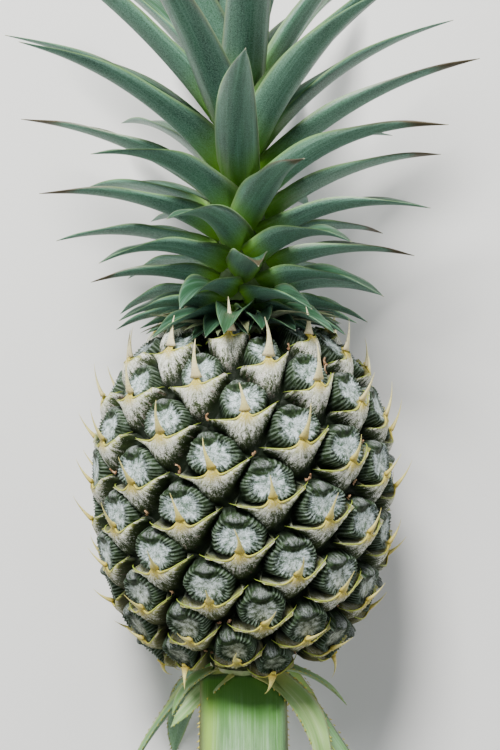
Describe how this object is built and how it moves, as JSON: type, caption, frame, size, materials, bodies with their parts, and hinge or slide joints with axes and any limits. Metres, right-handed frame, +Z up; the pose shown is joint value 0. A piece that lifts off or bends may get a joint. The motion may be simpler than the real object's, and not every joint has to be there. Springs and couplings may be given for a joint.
{
  "type": "pineapple fruit with crown and cut stalk",
  "caption": "Pineapple fruit with its leafy crown, cut on a short stalk with the leaves and bracts that hang from it, lying on its side.",
  "frame": {"origin": "on the floor under the middle of the whole, as it lies", "axes": "+Z up from the floor, +Y along the fruit from the cut stalk to the crown, +X to the right of a viewer who looks down with the crown away from them"},
  "size_m": [0.1894, 0.4312, 0.1919],
  "materials": {
    "rind": "matte",
    "stem": "matte",
    "stalk_leaf": "satin",
    "crown_leaf": "satin"
  },
  "bodies": {
    "root": {"fruit": "rind", "stalk": "stem", "stalk_leaf_front": "stalk_leaf", "stalk_leaf_curled": "stalk_leaf", "stalk_leaf_right": "stalk_leaf", "stalk_bract_right": "stalk_leaf", "stalk_bract_left": "stalk_leaf", "stalk_bract_curled": "stalk_leaf", "stalk_leaf_left": "stalk_leaf", "stalk_leaf_back_left": "stalk_leaf", "stalk_leaf_back_right": "stalk_leaf", "crown_collar": "crown_leaf", "crown_stem": "stem", "crown_leaf_01": "crown_leaf", "crown_leaf_02": "crown_leaf", "crown_leaf_03": "crown_leaf", "crown_leaf_04": "crown_leaf", "crown_leaf_05": "crown_leaf", "crown_leaf_06": "crown_leaf", "crown_leaf_07": "crown_leaf", "crown_leaf_08": "crown_leaf", "crown_leaf_09": "crown_leaf", "crown_leaf_10": "crown_leaf", "crown_leaf_11": "crown_leaf", "crown_leaf_12": "crown_leaf", "crown_leaf_13": "crown_leaf", "crown_leaf_14": "crown_leaf", "crown_leaf_15": "crown_leaf", "crown_leaf_16": "crown_leaf", "crown_leaf_17": "crown_leaf", "crown_leaf_18": "crown_leaf", "crown_leaf_19": "crown_leaf", "crown_leaf_20": "crown_leaf", "crown_leaf_21": "crown_leaf", "crown_leaf_22": "crown_leaf", "crown_leaf_23": "crown_leaf", "crown_leaf_24": "crown_leaf", "crown_leaf_25": "crown_leaf", "crown_leaf_26": "crown_leaf", "crown_leaf_27": "crown_leaf", "crown_leaf_28": "crown_leaf", "crown_leaf_29": "crown_leaf", "crown_leaf_30": "crown_leaf", "crown_leaf_31": "crown_leaf", "crown_leaf_32": "crown_leaf", "crown_leaf_33": "crown_leaf", "crown_leaf_34": "crown_leaf", "crown_leaf_35": "crown_leaf", "crown_leaf_36": "crown_leaf", "crown_leaf_37": "crown_leaf", "crown_leaf_38": "crown_leaf", "crown_leaf_39": "crown_leaf", "crown_leaf_40": "crown_leaf", "crown_heart": "crown_leaf"}
  },
  "joints": []
}
